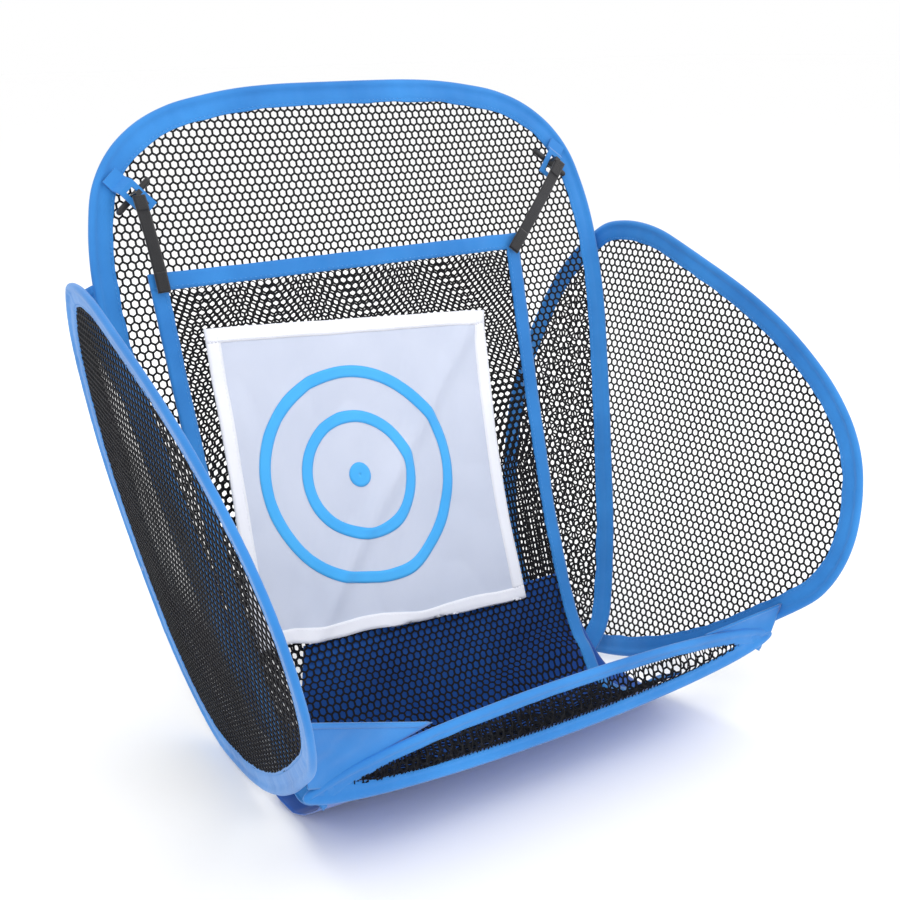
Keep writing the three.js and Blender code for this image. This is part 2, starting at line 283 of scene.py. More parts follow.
def ripple(points, scale, seed):
    """Smooth noise from about -1 to 1 at each point."""
    shift = Vector([seed * step for step in SEED_STEPS])
    values = [noise.noise(Vector(p) * scale + shift) for p in np.asarray(points).tolist()]
    return np.array(values) * NOISE_GAIN


def ramp(at, start, end):
    """0 before the start, 1 beyond the end, and an even slope in between."""
    return np.clip((at - start) / (end - start), 0, 1)


def with_zero(flat):
    """Flat places as points in space, with 0 for the third coordinate."""
    return np.pad(flat, ((0, 0), (0, 1)))


class Panel:
    """One sprung loop: its plane, the outer edge of its sleeve, and how its net bellies out."""

    def __init__(self, name, front, belly):
        sleeve = cad_points(f"{name}_sleeve")
        plate = cad_points(f"{name}_mesh")
        self.name = name
        self.origin = plate.mean(axis=0)
        normal = np.linalg.svd(plate - self.origin)[2][2]
        self.normal = normal * (1 if normal @ np.array(front) > 0 else -1)
        up = UP - (UP @ self.normal) * self.normal
        self.up = up / np.linalg.norm(up)
        self.across = np.cross(self.up, self.normal)
        self.edge = smooth_closed(convex_outline(self.flat(sleeve)), EDGE_SPACING)
        self.net_edge = convex_outline(self.flat(plate))
        self.belly = belly
        angles = np.arctan2(self.net_edge[:, 1], self.net_edge[:, 0])
        order = np.argsort(angles)
        self.angles = angles[order]
        self.radii = np.linalg.norm(self.net_edge[order], axis=1)

    def flat(self, points):
        arms = points - self.origin
        return np.stack([arms @ self.across, arms @ self.up], axis=1)

    def reach(self, flat):
        """0 at the middle of the net and 1 at its edge."""
        angles = np.arctan2(flat[:, 1], flat[:, 0])
        edge = np.interp(angles, self.angles, self.radii, period=2 * math.pi)
        return np.linalg.norm(flat, axis=1) / edge

    def depth(self, flat):
        """How far each flat place is from the net's edge."""
        nearest = np.full(len(flat), np.inf)
        for start, end in zip(self.net_edge, np.roll(self.net_edge, -1, axis=0)):
            side = end - start
            share = np.clip((flat - start) @ side / (side @ side), 0, 1)
            gap = flat - start - share[:, None] * side
            nearest = np.minimum(nearest, np.linalg.norm(gap, axis=1))
        return nearest

    def space(self, flat, out):
        """Points in space for flat places and heights out of the front of the panel."""
        flat = np.asarray(flat)
        out = np.asarray(out)
        return (self.origin + flat[:, :1] * self.across + flat[:, 1:2] * self.up
                + out[:, None] * self.normal)

    def net_place(self, flat):
        """Places on the stretched net, which bellies out most at its middle."""
        reach = np.clip(self.reach(flat), 0, 1)
        sag = self.belly * (1 - reach ** 2)
        wave = ripple(with_zero(flat), NET_WAVE_SCALE, len(self.name)) * NET_WAVE * (1 - reach ** 4)
        return self.space(flat, sag + wave)


# ---------------------------------------------------------------- hexagonal net
CELL_PITCH = 6.8 * MM
STRAND = 1.5 * MM
NET_DEPTH = 0.9 * MM


def inside(points, outline):
    """Which flat points are inside a closed outline."""
    after = np.roll(outline, -1, axis=0)
    hit = np.zeros(len(points), bool)
    for (ax, ay), (bx, by) in zip(outline, after):
        if ay == by:
            continue
        spans = (ay > points[:, 1]) != (by > points[:, 1])
        hit ^= spans & (points[:, 0] < (bx - ax) * (points[:, 1] - ay) / (by - ay) + ax)
    return hit


def hex_net(name, place, keep, low, high):
    """A knitted net: a sheet of six-sided cells, each with a hole, as one closed mesh.

    place turns flat points into points in space, and keep says which cell centres belong."""
    radius = CELL_PITCH / math.sqrt(3)
    rows = np.arange(int(low[1] / (1.5 * radius)) - 1, int(high[1] / (1.5 * radius)) + 2)
    columns = np.arange(int(low[0] / CELL_PITCH) - 2, int(high[0] / CELL_PITCH) + 2)
    row, column = (grid.ravel() for grid in np.meshgrid(rows, columns, indexing="ij"))
    centres = np.stack([(column + 0.5 * (row % 2)) * CELL_PITCH, row * 1.5 * radius], axis=1)
    centres = centres[keep(centres)]
    turns = np.radians(90 + 60 * np.arange(6))
    corner = np.stack([np.cos(turns), np.sin(turns)], axis=1) * radius
    outer = centres[:, None] + corner
    inner = centres[:, None] + corner * (1 - STRAND / CELL_PITCH)
    keys = np.round(outer / (radius / 8)).astype(int).reshape(-1, 2)
    _, first, shared = np.unique(keys, axis=0, return_index=True, return_inverse=True)
    shared = shared.reshape(-1, 6)
    flat = np.concatenate([outer.reshape(-1, 2)[first], inner.reshape(-1, 2)])
    middle = place(flat)
    step = 0.2 * MM
    along = place(flat + np.array([step, 0])) - middle
    up = place(flat + np.array([0, step])) - middle
    normal = np.cross(along, up)
    normal /= np.linalg.norm(normal, axis=1)[:, None]
    half = NET_DEPTH / 2
    points = np.concatenate([middle + normal * half, middle - normal * half])
    count = len(flat)
    hole = len(first) + np.arange(len(centres) * 6).reshape(-1, 6)
    next_shared, next_hole = np.roll(shared, -1, axis=1), np.roll(hole, -1, axis=1)
    quads = [
        np.stack([shared, next_shared, next_hole, hole], axis=2),
        np.stack([shared, hole, next_hole, next_shared], axis=2) + count,
        np.stack([hole, next_hole, next_hole + count, hole + count], axis=2),
    ]
    edges = np.stack([shared, next_shared], axis=2).reshape(-1, 2)
    _, place_of, uses = np.unique(np.sort(edges, axis=1), axis=0, return_index=True, return_counts=True)
    rim = edges[place_of[uses == 1]]
    wall = np.stack([rim[:, 1], rim[:, 0], rim[:, 0] + count, rim[:, 1] + count], axis=1)
    faces = np.concatenate([q.reshape(-1, 4) for q in quads] + [wall]).tolist()
    return new_mesh(name, points, faces, NET_BLACK, smooth=False)


# ---------------------------------------------------------------- sleeves and stitches
# section of a sleeve 20 mm wide: distance in from the rim, half thickness, both in mm; the
# channel for the wire keeps its size in a narrower sleeve and the flat hem gets narrower
SLEEVE_SECTION = [
    (0.0, 0.0), (0.3, 1.3), (1.3, 2.35), (2.8, 2.85), (4.4, 2.75), (5.8, 2.1), (7.2, 1.3),
    (10.0, 1.35), (13.5, 1.45), (16.0, 1.15), (17.3, 0.72), (18.6, 1.0), (19.5, 0.75), (19.8, 0.0),
]
CHANNEL = 7.2                        # mm in from the rim, where the wire's channel ends
FULL_WIDTH = 19.8                    # mm across the whole section
WIRE_GRIP = 5                        # mm in from the rim, over which the wire holds the fabric tight
HEM_START = 12                       # mm in from the rim; the hem's width varies only beyond it
SLACK = 0.45 * MM                    # how far the fabric wanders out of its loop's plane
SLACK_SCALE = 60
PUCKER = 0.22                        # how much the sleeve's thickness varies
PUCKER_SCALE = 230
HEM_WANDER = 0.035                   # how much the flat hem's width varies
STITCH_ROW = 17.3                    # mm in from the rim, on a 20 mm sleeve
SEAM_PITCH = 4.2 * MM                # stitches in the sleeves and tapes
SEAM_LENGTH = 2.8 * MM
SEAM_THREAD = 0.32 * MM
HEM_PITCH = 3.4 * MM                 # finer stitches in the target's hem
HEM_LENGTH = 2.2 * MM
HEM_THREAD = 0.25 * MM


def section_reach(distance, width):
    """Metres in from the rim for a distance on the 20 mm section."""
    if distance <= CHANNEL:
        return distance * MM
    share = (distance - CHANNEL) / (FULL_WIDTH - CHANNEL)
    return CHANNEL * MM + share * (width - (CHANNEL + 0.2) * MM)


def looseness(distance):
    """How free the fabric is at a distance on the section: tight on the wire, loose on the hem."""
    if distance <= WIRE_GRIP:
        return 0.15
    return math.sin(math.pi * min(1, distance / FULL_WIDTH)) ** 0.7


def inward_of(edge):
    """The directions into the loop and along it at each point of an anticlockwise edge."""
    along = np.roll(edge, -1, axis=0) - np.roll(edge, 1, axis=0)
    along /= np.linalg.norm(along, axis=1)[:, None]
    return np.stack([-along[:, 1], along[:, 0]], axis=1), along


def make_sleeve(panel, width, ends):
    """The fabric tube around a loop. ends widens the band towards the ends of a long thin loop."""
    edge = panel.edge
    inward, _ = inward_of(edge)
    half_length = np.abs(edge[:, 0]).max()
    widen = 1 + ends * (np.abs(edge[:, 0]) / half_length) ** 8
    seed = len(panel.name)
    slack = ripple(with_zero(edge), SLACK_SCALE, seed)
    pucker = ripple(with_zero(edge), PUCKER_SCALE, seed + 3)
    ring = SLEEVE_SECTION + [(d, -w) for d, w in SLEEVE_SECTION[-2:0:-1]]
    rows = []
    for distance, half in ring:
        loose = looseness(distance)
        reach = section_reach(distance, width) * (1 + (widen - 1) * (distance > CHANNEL))
        reach = reach * (1 + HEM_WANDER * slack * (distance > HEM_START))
        bulge = half * MM * (1 + PUCKER * pucker * loose) + SLACK * slack * loose
        rows.append(panel.space(edge + inward * reach[:, None], bulge))
    points = np.stack(rows, axis=1)
    steps, around = points.shape[:2]
    faces = []
    for i in range(steps):
        after = (i + 1) % steps
        for k in range(around):
            turn = (k + 1) % around
            faces.append((i * around + k, after * around + k, after * around + turn, i * around + turn))
    return new_mesh(f"{panel.name}_fabric_sleeve", points, faces, SLEEVE_BLUE)


def stitches(name, places, alongs, normals, length, thick, material):
    """A row of short threads, each a thin six-pointed bead."""
    sides = np.cross(normals, alongs)
    offsets = [
        alongs * length / 2, sides * thick, normals * thick * 0.8,
        -sides * thick, -normals * thick * 0.8, -alongs * length / 2,
    ]
    points = np.stack([places + offset for offset in offsets], axis=1)
    bead = [(0, 1, 2), (0, 2, 3), (0, 3, 4), (0, 4, 1), (5, 2, 1), (5, 3, 2), (5, 4, 3), (5, 1, 4)]
    faces = [tuple(i * 6 + k for k in face) for i in range(len(places)) for face in bead]
    return new_mesh(name, points, faces, material)


def sleeve_stitches(panel, width):
    """One row of stitches on each face of a sleeve, along its inner hem."""
    edge = smooth_closed(panel.edge, SEAM_PITCH)
    inward, along = inward_of(edge)
    row = edge + inward * section_reach(STITCH_ROW, width)
    spots = [panel.space(row, np.full(len(row), lift)) for lift in (MM, -MM)]
    direction = along[:, :1] * panel.across + along[:, 1:2] * panel.up
    count = 2 * len(row)
    return stitches(
        f"{panel.name}_stitches", np.concatenate(spots), np.tile(direction, (2, 1)),
        np.tile(panel.normal, (count, 1)), SEAM_LENGTH, SEAM_THREAD, THREAD_BLUE)


# ---------------------------------------------------------------- cloth patches
def patch(name, surface, a_range, b_range, counts, thick, material):
    """A closed thin piece of cloth with its middle on surface(a, b), which gives points."""
    a, b = (g.ravel() for g in np.meshgrid(
        np.linspace(*a_range, counts[0] + 1), np.linspace(*b_range, counts[1] + 1), indexing="ij"))
    middle, normal = surface(a, b), surface_normal(surface, a, b)
    top = middle + normal * thick / 2
    low = middle - normal * thick / 2
    total = len(a)
    across = counts[1] + 1
    faces = []
    for i in range(counts[0]):
        for k in range(counts[1]):
            p = i * across + k
            faces.append((p, p + across, p + across + 1, p + 1))
            faces.append((p + total, p + total + 1, p + total + across + 1, p + total + across))
    rim = [i * across for i in range(counts[0] + 1)]
    rim += [counts[0] * across + k for k in range(1, counts[1] + 1)]
    rim += [i * across + counts[1] for i in range(counts[0] - 1, -1, -1)]
    rim += [k for k in range(counts[1] - 1, 0, -1)]
    for p, q in zip(rim, rim[1:] + rim[:1]):
        faces.append((q, p, p + total, q + total))
    return new_mesh(name, np.concatenate([top, low]), faces, material)


def surface_normal(surface, a, b):
    """Unit normals of surface(a, b), from points a small step to each side."""
    step = 1e-4
    normal = np.cross(surface(a + step, b) - surface(a - step, b),
                      surface(a, b + step) - surface(a, b - step))
    return normal / np.maximum(np.linalg.norm(normal, axis=1), 1e-15)[:, None]


def hem_stitches(name, surface, points_ab, lift, length, thick, material):
    """Stitches along a line of (a, b) places on a surface."""
    a, b = np.array(points_ab).T
    places = surface(a, b)
    normals = surface_normal(surface, a, b)
    alongs = np.gradient(places, axis=0)
    alongs /= np.linalg.norm(alongs, axis=1)[:, None]
    return stitches(name, places + normals * lift, alongs, normals, length, thick, material)


ROUTE_STEPS = 160
ROUTE_FINE_STEPS = 600
ROUTE_END = 0.6 * MM                 # how far the route stops short of the sheet's ends


def side_view(node, degree):
    """For a curved sheet that is the same all along X: its range of Y, and Z as a function of Y."""
    points = cad_points(node)
    y, z = points[:, 1], points[:, 2]
    middle, half = (y.max() + y.min()) / 2, (y.max() - y.min()) / 2
    line = np.polyfit((y - middle) / half, z, degree)
    return (y.min(), y.max()), lambda at: np.polyval(line, (at - middle) / half)


def sheet_route(node, degree):
    """Y and Z at even steps along a curved sheet, from its rear top edge to its front, and its length."""
    (front, rear), height = side_view(node, degree)
    y = np.linspace(rear - ROUTE_END, front + ROUTE_END, ROUTE_FINE_STEPS)
    z = height(y)
    run = np.concatenate([[0], np.cumsum(np.hypot(np.diff(y), np.diff(z)))])
    at = np.linspace(0, run[-1], ROUTE_STEPS)
    return np.interp(at, run, y), np.interp(at, run, z), run[-1]


make_camera()
make_studio()

# ---------------------------------------------------------------- the four loops
# each loop: its panel, with the way its front faces and how far its net bellies out that way,
# then the width of its sleeve and the body it rides on
PANELS = {
    "back": (Panel("back", (0, -1, 0), -9 * MM), 20 * MM, "back_frame"),
    "right_wing": (Panel("right_wing", (-1, 0, 0), -6 * MM), 19 * MM, "right_wing"),
    "left_wing": (Panel("left_wing", (1, 0, 0), -6 * MM), 19 * MM, "left_wing"),
    "lip": (Panel("lip", (0, -1, 0), 3 * MM), 11.5 * MM, "lip"),
}
LIP_GATHER = 2.0                     # flat width of the lip's net over its width when gathered
PLEAT = 9.5 * MM                     # from one pleat to the next
PLEAT_DEPTH = 3.0 * MM
SLEEVE_HOLD = 5.5 * MM               # how much of the net's edge the sleeve holds flat
PLEAT_RUN = 9 * MM                   # over which a pleat opens to its full depth
PLEAT_DRIFT = 1.4                    # radians by which the pleats wander from even spacing


def flat_net(panel):
    """A net stretched smooth across its loop."""
    def keep(centres):
        return inside(centres, panel.net_edge)

    low, high = panel.net_edge.min(axis=0), panel.net_edge.max(axis=0)
    return hex_net(f"{panel.name}_net", panel.net_place, keep, low, high)


def pleated_net(panel):
    """The lip's net is wider than its loop, so it stands in upright pleats."""
    squeeze = np.array([1 / LIP_GATHER, 1.0])

    def place(flat):
        flat = flat * squeeze
        drift = ripple(with_zero(flat) * np.array([1, 0.35, 0]), 40, 5) * PLEAT_DRIFT
        fold = np.sin(2 * math.pi * flat[:, 0] / PLEAT + drift)
        free = np.clip((panel.depth(flat) - SLEEVE_HOLD) / PLEAT_RUN, 0, 1)
        return panel.space(flat, (fold * PLEAT_DEPTH + panel.belly) * np.sin(free * math.pi / 2))

    def keep(centres):
        return inside(centres * squeeze, panel.net_edge)

    low, high = panel.net_edge.min(axis=0) / squeeze, panel.net_edge.max(axis=0) / squeeze
    return hex_net(f"{panel.name}_net", place, keep, low, high)


for key, (panel, width, body) in PANELS.items():
    is_lip = key == "lip"
    sleeve = make_sleeve(panel, width, ends=1.0 if is_lip else 0.0)
    thread = sleeve_stitches(panel, width)
    net = pleated_net(panel) if is_lip else flat_net(panel)
    for piece, slot in ((sleeve, "sleeve_fabric"), (thread, "sleeve_fabric"), (net, "net_mesh")):
        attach(piece, body)
    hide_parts(f"{key}_sleeve")
    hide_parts(f"{key}_mesh")
    for wire in (f"{key}_wire", f"{key}_wire_ferrule"):
        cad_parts[wire].data.materials.clear()
        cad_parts[wire].data.materials.append(WIRE_STEEL)

# ---------------------------------------------------------------- inner net and its bindings
BACK = PANELS["back"][0]
LIP = PANELS["lip"][0]
# the lower half of the lip's outer edge, from left to right
lip_line = LIP.space(LIP.edge, np.zeros(len(LIP.edge)))
lip_low = lip_line[lip_line[:, 2] < LIP.origin[2]]
lip_low = lip_low[np.argsort(lip_low[:, 0])]


def fold_flat(piece):
    """Give a piece of loose cloth its own copy of its mesh."""
    tuple(BACK.normal)
    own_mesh(piece)


NET_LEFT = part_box("inner_net_left_binding")[0][0]
NET_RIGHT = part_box("inner_net_right_binding")[1][0]
ROUTE_Y, ROUTE_Z, NET_LENGTH = sheet_route("inner_net_left_binding", 6)
NET_MIDDLE, NET_HALF = (NET_LEFT + NET_RIGHT) / 2, (NET_RIGHT - NET_LEFT) / 2
TAPE = 13 * MM                       # width of the bound edges
TAPE_THICK = 2.2 * MM
WING_ROOM = 8 * MM                   # how far the net's lower left edge stays in from the wing
TOP_FLARE = 20 * MM                  # how much further left the strap pulls the net's top corner
HANG_RUMPLE = 1.6 * MM               # waves in the part that hangs
LAID_RUMPLE = 2.0 * MM               # waves in the part that lies on the floor sheet
LAID_FOLDS = 13 * MM                 # height of the loose folds there
LAID_LIFT = 1.5 * MM                 # how far the laid part stays clear of the floor sheet
NET_SAG = 4 * MM                     # how far the middle hangs back between its corners
NET_LOWEST = 3.2 * MM


def inner_surface(a, b):
    """The inner net: a from -1 to 1 across, b from 0 at the top to 1 at the lip."""
    left = (1 - a) / 2
    laid = ramp(b, 0.62, 0.82)
    front = ramp(b, 0.85, 1)
    steps = np.linspace(0, 1, ROUTE_STEPS)
    x = NET_MIDDLE + a * NET_HALF - TOP_FLARE * left * ramp(b, 0.6, 0)
    x = x + WING_ROOM * left * ramp(b, 0.4, 0.7)
    spots = np.stack([x, b * NET_LENGTH, np.zeros_like(x)], axis=1)
    rumple = np.abs(ripple(spots, 26, 2) * 0.7 + ripple(spots, 60, 4) * 0.3)
    folds = np.abs(ripple(spots * np.array([1, 1.7, 1]), 17, 6)) ** 1.5 * ramp(b, 1, 0.88)
    sag = NET_SAG * (1 - a ** 2) * np.sin(math.pi * ramp(b, 0, 0.5))
    y = np.interp(b, steps, ROUTE_Y) + sag + (1 - laid) * rumple * HANG_RUMPLE
    z = np.interp(b, steps, ROUTE_Z) + laid * (LAID_LIFT + LAID_RUMPLE * rumple + LAID_FOLDS * folds)
    z = z + front ** 2 * (np.interp(x, lip_low[:, 0], lip_low[:, 2]) - lip_low[:, 2].min())
    return np.stack([x, y, np.maximum(z, NET_LOWEST)], axis=1)


def inner_place(flat):
    """Places on the inner net for flat places, with 0 at the top and the lip below it."""
    return inner_surface((flat[:, 0] - NET_MIDDLE) / NET_HALF, -flat[:, 1] / NET_LENGTH)


def within_tapes(centres):
    """Which cell centres are inside the inner net's edges by at least 2 mm."""
    clear = 2 * MM
    return ((centres > inner_low + clear) & (centres < inner_high - clear)).all(axis=1)


inner_low = np.array([NET_LEFT + TAPE * 0.6, -NET_LENGTH])
inner_high = np.array([NET_RIGHT - TAPE * 0.6, 0.0])
inner_net = hex_net("inner_hex_net", inner_place, within_tapes, inner_low, inner_high)
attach(inner_net, "back_frame")
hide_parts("inner_net")

tape_a = TAPE / NET_HALF
tape_b = TAPE / NET_LENGTH
# each tape: its range across and down the net, and its steps in both directions
edge_tapes = {
    "inner_net_left_binding": ((-1, -1 + tape_a), (0, 1), (5, 150)),
    "inner_net_right_binding": ((1 - tape_a, 1), (0, 1), (5, 150)),
    "inner_net_top_binding": ((-1, 1), (-tape_b * 0.9, tape_b * 0.15), (120, 5)),
}


def top_extended(a, b):
    """The inner net's surface carried on above its top edge, for the tape there."""
    step = 0.02
    slope = inner_surface(a, np.zeros_like(b)) - inner_surface(a, np.full_like(b, step))
    return inner_surface(a, np.maximum(b, 0)) + slope * (-np.minimum(b, 0) / step)[:, None]


tape_pieces = []
for node, (a_range, b_range, counts) in edge_tapes.items():
    tape = patch(f"{node}_tape", top_extended, a_range, b_range, counts, TAPE_THICK, SLEEVE_BLUE)
    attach(tape, "back_frame")
    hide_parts(node)
    tape_pieces.append(tape)
seam_a = 1 - tape_a * 0.8
seam_lines = {
    "left": [(-seam_a, b) for b in np.arange(0.005, 0.995, SEAM_PITCH / NET_LENGTH)],
    "right": [(seam_a, b) for b in np.arange(0.005, 0.995, SEAM_PITCH / NET_LENGTH)],
    "top": [(a, -tape_b * 0.05) for a in np.arange(-0.98, 0.98, SEAM_PITCH / NET_HALF)],
}
SEAM_LIFT = 1.15 * MM                # from the middle of the tape to the thread on its face
for side, line in seam_lines.items():
    for face, lift in (("front", SEAM_LIFT), ("rear", -SEAM_LIFT)):
        seam = hem_stitches(f"inner_net_{side}_stitches_{face}", top_extended, line,
                            lift, SEAM_LENGTH, SEAM_THREAD, THREAD_BLUE)
        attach(seam, "back_frame")
        tape_pieces.append(seam)
for piece in [inner_net, *tape_pieces]:
    fold_flat(piece)

# ---------------------------------------------------------------- target cloth
target_low, target_high = (np.array(corner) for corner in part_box("target_cloth"))
TARGET_Y, TARGET_Z, TARGET_LENGTH = sheet_route("target_cloth", 3)
TARGET_MIDDLE = (target_low[0] + target_high[0]) / 2
TARGET_HALF = (target_high[0] - target_low[0]) / 2
HEM = 12 * MM                        # width of the hem
HEM_THICK = 1.5 * MM
TARGET_THICK = 0.5 * MM
TARGET_DROOP = 17 * MM               # how much lower the target's right side hangs
TARGET_GAP = 3.6 * MM                # how far the target hangs in front of the inner net
TARGET_WAVES = 2.4 * MM              # slow waves in the cloth
TARGET_WRINKLES = 1.3 * MM           # closer wrinkles, mostly upright
TARGET_SAG = 1.2 * MM                # how far the middle hangs back
CREASE = 3.4 * MM                    # depth of the slanting crease
CREASE_WIDTH = 0.06


def target_surface(a, b):
    """The target cloth: a from -1 to 1 across, b from 0 at the top to 1 at the bottom edge."""
    narrower = 1 - 0.02 * np.sin(math.pi * b)
    wavy = b + 0.010 * np.sin(3.1 * a + 0.6) * b + 0.006 * np.sin(9 * a) * b
    droop = TARGET_DROOP * (a + 1) / 2
    steps = np.linspace(0, 1, ROUTE_STEPS)
    spots = np.stack([a * 1.3, b * 2.2, np.zeros_like(a)], axis=1)
    soft = ripple(spots, 1.3, 9) * TARGET_WAVES
    soft = soft + ripple(spots * np.array([1, 0.45, 1]), 4.2, 12) * TARGET_WRINKLES
    from_crease = (a * 0.72 + (b - 0.5) * 1.15) - 0.12
    crease = CREASE * np.exp(-(from_crease / CREASE_WIDTH) ** 2)
    sag = TARGET_SAG * (1 - a ** 2) * np.sin(math.pi * np.clip(b, 0, 1))
    out = np.abs(soft) + crease - sag + TARGET_GAP
    x = TARGET_MIDDLE + a * TARGET_HALF * narrower
    y = np.interp(wavy, steps, TARGET_Y) - out - 0.2 * droop
    z = np.interp(wavy, steps, TARGET_Z) - droop
    return np.stack([x, y, z], axis=1)


def target_piece(piece):
    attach(piece, "back_frame")
    return piece


target = target_piece(patch(
    "target_panel", target_surface, (-1, 1), (0, 1), (96, 96), TARGET_THICK, CLOTH_WHITE))
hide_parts("target_cloth")
hem_a = HEM / TARGET_HALF
hem_b = HEM / TARGET_LENGTH
# each side of the hem: its range across and down the target, and its steps in both directions
hem_ranges = {
    "top": ((-1, 1), (0, hem_b), (96, 4)),
    "bottom": ((-1, 1), (1 - hem_b, 1), (96, 4)),
    "left": ((-1, -1 + hem_a), (hem_b * 0.9, 1 - hem_b * 0.9), (4, 90)),
    "right": ((1 - hem_a, 1), (hem_b * 0.9, 1 - hem_b * 0.9), (4, 90)),
}
target_extras = []
for side, (a_range, b_range, counts) in hem_ranges.items():
    hem = patch(f"target_hem_{side}", target_surface, a_range, b_range, counts, HEM_THICK, HEM_WHITE)
    target_extras.append(target_piece(hem))

RING_CENTRE = (-0.10, 0.50)          # across and down the target
RINGS = {"outer": 92.5 * MM, "inner": 54.5 * MM}
RING_WIDTH = 10 * MM
DOT = 10.5 * MM
INK_FRONT = 0.75 * MM                # the ink's faces, measured from the middle of the cloth
INK_REAR = 0.3 * MM


def printed_ring(name, radius, width):
    """A closed band of ink a hair in front of the cloth."""
    steps, bands = 160, 4
    turns, radii = (g.ravel() for g in np.meshgrid(
        np.arange(steps) / steps, np.linspace(radius - width, radius, bands + 1), indexing="ij"))
    a = RING_CENTRE[0] + radii * np.cos(turns * 2 * math.pi) / TARGET_HALF
    b = RING_CENTRE[1] + radii * np.sin(turns * 2 * math.pi) / TARGET_LENGTH
    normal = surface_normal(target_surface, a, b)
    facing = np.sign((normal @ BACK.normal).mean())
    middle = target_surface(a, b)
    front = middle + normal * facing * INK_FRONT
    rear = middle + normal * facing * INK_REAR
    total, row = len(a), bands + 1
    faces = []
    for i in range(steps):
        here, there = i * row, (i + 1) % steps * row
        for k in range(bands):
            band = (here + k, here + k + 1, there + k + 1, there + k)
            faces.append(band)
            faces.append(tuple(total + band[turn] for turn in (0, 3, 2, 1)))
        for k, flip in ((0, 1), (bands, -1)):
            wall = (here + k, there + k, total + there + k, total + here + k)
            faces.append(wall[::flip])
    return new_mesh(name, np.concatenate([front, rear]), faces, INK_BLUE)


for name, radius in RINGS.items():
    target_extras.append(target_piece(printed_ring(f"printed_{name}_ring", radius, RING_WIDTH)))
target_extras.append(target_piece(printed_ring("printed_dot", DOT, DOT * 0.999)))

stitch_a, stitch_b = hem_a * 0.85, hem_b * 0.85
places_across = np.arange(-0.97, 0.97, HEM_PITCH / TARGET_HALF)
places_down = np.arange(0.03, 0.97, HEM_PITCH / TARGET_LENGTH)
stitch_lines = {
    "across": [(a, b) for b in (stitch_b, 1 - stitch_b) for a in places_across],
    "left": [(-1 + stitch_a, b) for b in places_down],
    "right": [(1 - stitch_a, b) for b in places_down],
}
HEM_LIFT = -0.9 * MM                 # from the middle of the cloth to the thread on the hem's face
for side, line in stitch_lines.items():
    target_extras.append(target_piece(hem_stitches(
        f"target_stitches_{side}", target_surface, line, HEM_LIFT, HEM_LENGTH, HEM_THREAD, HEM_WHITE)))
for piece in [target, *target_extras]:
    fold_flat(piece)

# ---------------------------------------------------------------- floor sheet
FLOOR_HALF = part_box("floor_sheet")[1][0]
FLOOR_THICK = 0.6 * MM
FLOOR_FLARE = 26 * MM                # how much wider each side gets towards the lip
FLOOR_TAPER = 50 * MM                # how much narrower each side gets up the back panel
FLOOR_LIP_GAP = 1.5 * MM             # from the lip's lower edge up to the sheet's front edge
FLOOR_RIPPLES = (0.3, 4)             # mm, the least and greatest height of the sheet's ripples
# side view of the floor sheet, y and z, from its top edge on the back panel to the lip
FLOOR_LINE = np.array([
    [0.0560, 0.106], [0.0400, 0.053], [0.0270, 0.012], [0.0210, 0.003], [0.0120, 0.0012],
    [-0.0080, 0.0012], [-0.0200, 0.0055], [-0.0600, 0.0285], [-0.1125, 0.0592],
])


def floor_surface(a, b):
    """The floor sheet: a across, b from 0 at its top edge on the back panel to 1 under the lip."""
    run = np.concatenate([[0], np.cumsum(np.linalg.norm(np.diff(FLOOR_LINE, axis=0), axis=1))])
    y = np.interp(b * run[-1], run, FLOOR_LINE[:, 0])
    z = np.interp(b * run[-1], run, FLOOR_LINE[:, 1])
    front = ramp(b, 0.6, 1)
    rear = ramp(b, 0.42, 0)
    x = a * (FLOOR_HALF + FLOOR_FLARE * front - FLOOR_TAPER * np.sqrt(rear))
    lip_height = np.interp(x, lip_low[:, 0], lip_low[:, 2])
    z = z + front ** 2 * (lip_height + FLOOR_LIP_GAP - FLOOR_LINE[-1, 1])
    spots = np.stack([x, b * run[-1], np.zeros_like(x)], axis=1)
    rumple = ripple(spots, 22, 21) * 1.1 + ripple(spots, 55, 23) * 0.5
    heel = ramp(b, 0.42, 0.32)
    lift = np.clip(1.0 + rumple, *FLOOR_RIPPLES) * MM * (1 - heel)
    return np.stack([x, y, z + lift], axis=1)


floor_cloth = patch("floor_cloth", floor_surface, (-1, 1), (0, 1), (110, 90), FLOOR_THICK, FLOOR_BLUE_WITH_PAINTED_SHADE)
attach(floor_cloth, "back_frame")
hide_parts("floor_sheet")


# ---------------------------------------------------------------- gussets
GUSSET_THICK = 0.8 * MM
GUSSET_HEM_THICK = 1.8 * MM
GUSSET_BELLY = 2.5 * MM
GUSSET_FOLD = 1.2 * MM
GUSSET_TIP = 0.08                    # width of a gusset's lower end over its base
REAR_WEB_TOP = 0.404                 # height of a rear gusset's top corner, on the back loop
REAR_WEB_WING = 0.392                # height of its corner on the wing
REAR_WEB_LOW = 0.318                 # height of its lowest corner, on the back loop


def outline_point(panel, height, side):
    """The point at the given height on the outer edge of a sleeve, on its side nearest x = side."""
    edge = panel.space(panel.edge, np.zeros(len(panel.edge)))
    level = np.abs(edge[:, 2] - height) < 3 * MM
    near = edge[level]
    return near[np.argmin(np.abs(near[:, 0] - side))]


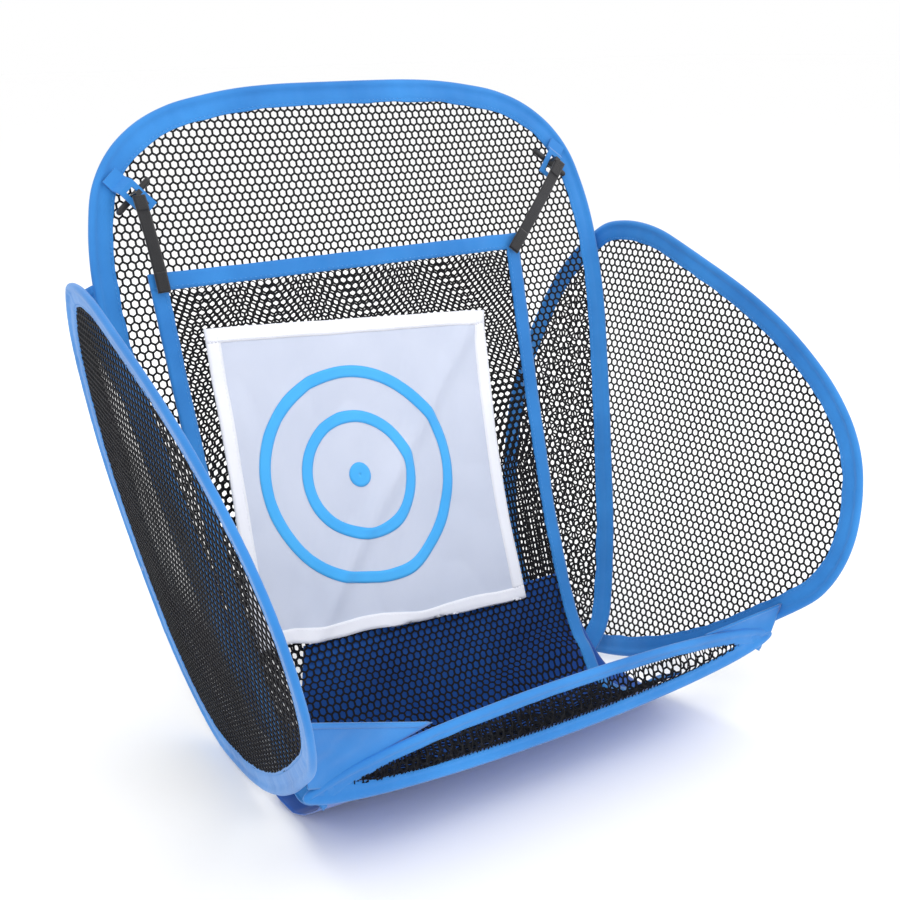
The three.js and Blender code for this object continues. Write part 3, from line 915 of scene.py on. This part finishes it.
def make_gusset(node, corners, outward):
    """A three-cornered web of sleeve fabric with a hem along its top edge."""
    top, second, low = (np.array(corner) for corner in corners)
    out = np.array(outward)

    def surface(a, b):
        upper = top + np.outer(a, second - top)
        lower = low + np.outer(a - 0.5, (second - top) * GUSSET_TIP)
        flat = upper * (1 - b)[:, None] + lower * b[:, None]
        slack = np.sin(math.pi * a) * np.sin(math.pi * np.clip(b, 0, 1))
        fold = ripple(flat, 90, 31) * GUSSET_FOLD * slack
        return flat + np.outer(GUSSET_BELLY * slack + fold, out)

    gusset = patch(f"{node}_cloth", surface, (0, 1), (0, 1), (22, 26), GUSSET_THICK, SLEEVE_BLUE)
    hem = patch(f"{node}_hem", surface, (0.02, 0.98), (0.0, 0.08), (22, 3), GUSSET_HEM_THICK, SLEEVE_BLUE)
    for piece in (gusset, hem):
        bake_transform(piece)
    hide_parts(node)


# corners of the webs between a wing, the lip's top edge and the lip's end, as on the right side
FRONT_GUSSETS = {
    "left": [(0.120, -0.113, 0.106), (0.236, -0.132, 0.150), (0.222, -0.119, 0.090)],
    "right": [(0.150, -0.113, 0.100), (0.231, -0.124, 0.112), (0.222, -0.119, 0.086)],
}

for side, sign in (("right", 1), ("left", -1)):
    wing = PANELS[f"{side}_wing"][0]
    rear = [
        outline_point(BACK, REAR_WEB_TOP, sign),
        outline_point(wing, REAR_WEB_WING, sign * 0.2),
        outline_point(BACK, REAR_WEB_LOW, sign),
    ]
    make_gusset(f"{side}_rear_gusset", rear, (sign * 0.3, -0.9, 0.1))
    front = [(sign * x, y, z) for x, y, z in FRONT_GUSSETS[side]]
    make_gusset(f"{side}_front_gusset", front, (0, 0.9, 0.3))


# ---------------------------------------------------------------- webbing loops, toggles and straps
STRAP_WIDTH = 10 * MM
STRAP_THICK = 1.3 * MM
STRAP_DOUBLE = 3.0 * MM              # where the strap is folded over and sewn
STRAP_HEAD = 3.2 * MM                # where it is folded over at the toggle
STRAP_BOW = 2.0 * MM                 # how far the middle stands off a straight line


def bevelled_copy(node, name, material, width, body):
    """A rounded piece in the place of a CAD node that is sharp-edged."""
    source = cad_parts[node]
    piece = bpy.data.objects.new(name, source.data.copy())
    bpy.context.collection.objects.link(piece)
    piece.data.materials.clear()
    piece.data.materials.append(material)
    bevel = piece.modifiers.new("bevel", "BEVEL")
    bevel.width = width
    bevel.segments = 3
    bevel.limit_method = "ANGLE"
    piece.data.shade_smooth()
    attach(piece, body)
    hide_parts(node)
    return piece


def make_strap(node, name, side):
    """A hanging strap with a folded head at the toggle and a sewn end on the inner net's tape."""
    points = cad_points(node)
    middle_z = points[:, 2].mean()
    low = points[points[:, 2] < middle_z].mean(axis=0)
    top = points[points[:, 2] > middle_z].mean(axis=0)
    if side == "left":
        low = low - np.array([TOP_FLARE, 0, 0])
    along = low - top
    across = np.array([1.0, 0, 0]) - along * along[0] / (along @ along)
    across /= np.linalg.norm(across)
    out = np.cross(across, along) / np.linalg.norm(along)
    out *= -1 if out[1] > 0 else 1

    def surface(a, b):
        middle = top + np.outer(b * 1.1 - 0.05, along)
        bow = STRAP_BOW * np.sin(math.pi * np.clip(b, 0, 1))
        return middle + np.outer(a * STRAP_WIDTH / 2, across) + np.outer(bow, out)

    inner = (-0.96, 0.96)
    strap = patch(name, surface, (-1, 1), (0, 1), (6, 60), STRAP_THICK, STRAP_BLACK)
    end = patch(f"{name}_sewn_end", surface, inner, (0.8, 1), (6, 14), STRAP_DOUBLE, STRAP_BLACK)
    head = patch(f"{name}_folded_head", surface, inner, (0, 0.16), (6, 12), STRAP_HEAD, STRAP_BLACK)
    for piece in (strap, end, head):
        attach(piece, "back_frame")
    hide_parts(node)


for side in ("right", "left"):
    bevelled_copy(f"{side}_webbing_loop", f"{side}_webbing", SLEEVE_BLUE, 0.5 * MM,
                  "back_frame")
    bevelled_copy(f"{side}_toggle", f"{side}_toggle_bar", TOGGLE_BLACK, 0.7 * MM,
                  f"{side}_toggle")
    make_strap(f"{side}_strap", f"{side}_hanging_strap", side)
